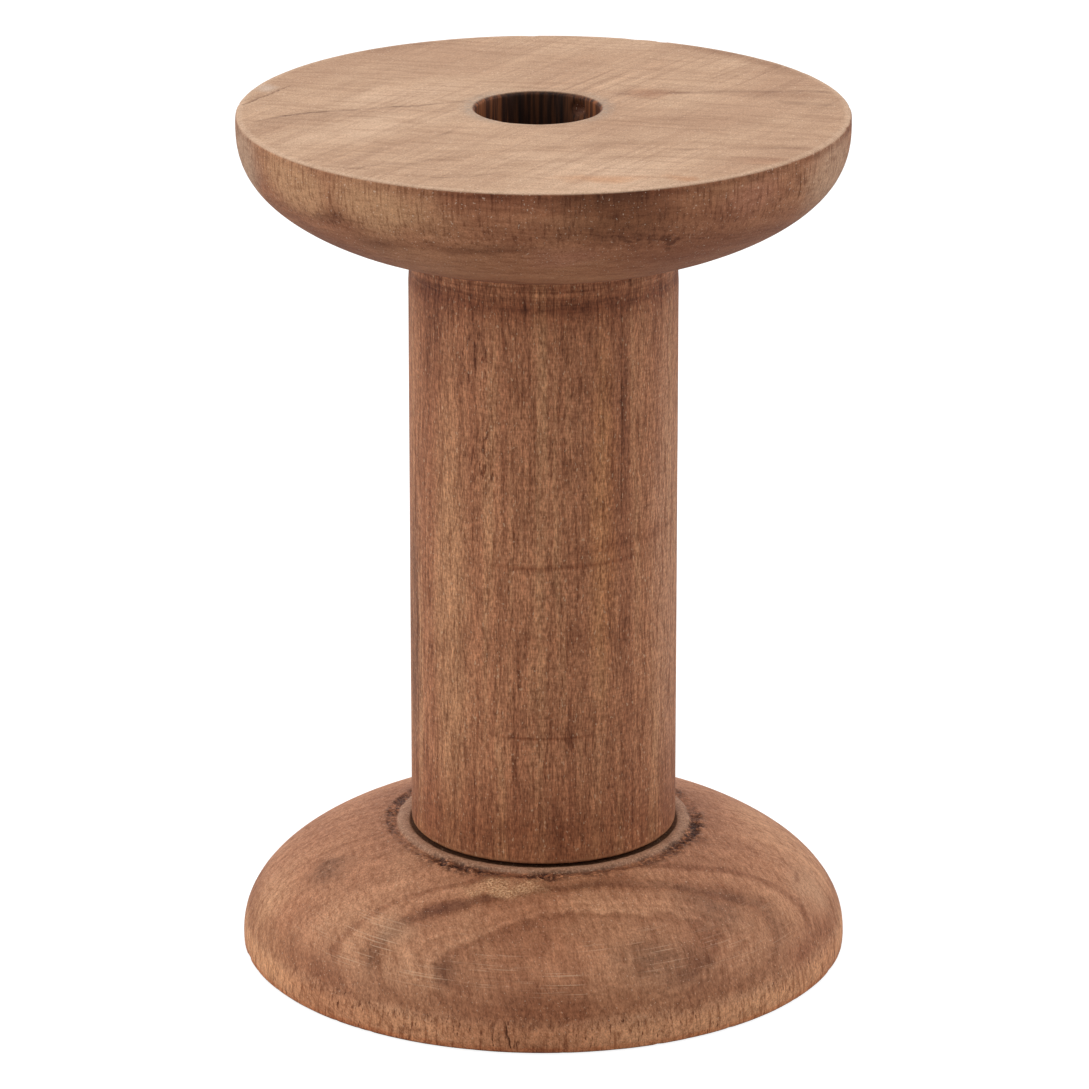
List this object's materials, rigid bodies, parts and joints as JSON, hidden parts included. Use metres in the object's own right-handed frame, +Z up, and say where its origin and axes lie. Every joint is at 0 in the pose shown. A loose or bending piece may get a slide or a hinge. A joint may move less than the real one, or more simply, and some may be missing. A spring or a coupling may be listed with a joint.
{
  "type": "wooden spool",
  "caption": "Turned wooden spool for yarn or thread: domed flanges on a straight barrel, with a through hole for a spindle or a dinner candle.",
  "frame": {"origin": "on the barrel's axis, in the plane that the lower flange stands on", "axes": "+Z up along the barrel's axis; +X to the right and +Y to the back as seen in the picture"},
  "size_m": [0.1016, 0.1016, 0.1442],
  "materials": {
    "flange_wood_upper": "dry matte, tan on the sanded end face and browner on the turned side, straight grain lying across the flange",
    "barrel_wood": "matte red-brown, fine upright fuzzy grain",
    "flange_wood_lower": "matte brown, growth rings cut as contour-like arcs, torn grain round the barrel's foot",
    "glue": "dried animal glue, amber"
  },
  "bodies": {
    "root": {"top_flange": "flange_wood_upper", "barrel": "barrel_wood", "base_flange": "flange_wood_lower", "top_glue_film": "glue", "base_glue_film": "glue"}
  },
  "joints": []
}
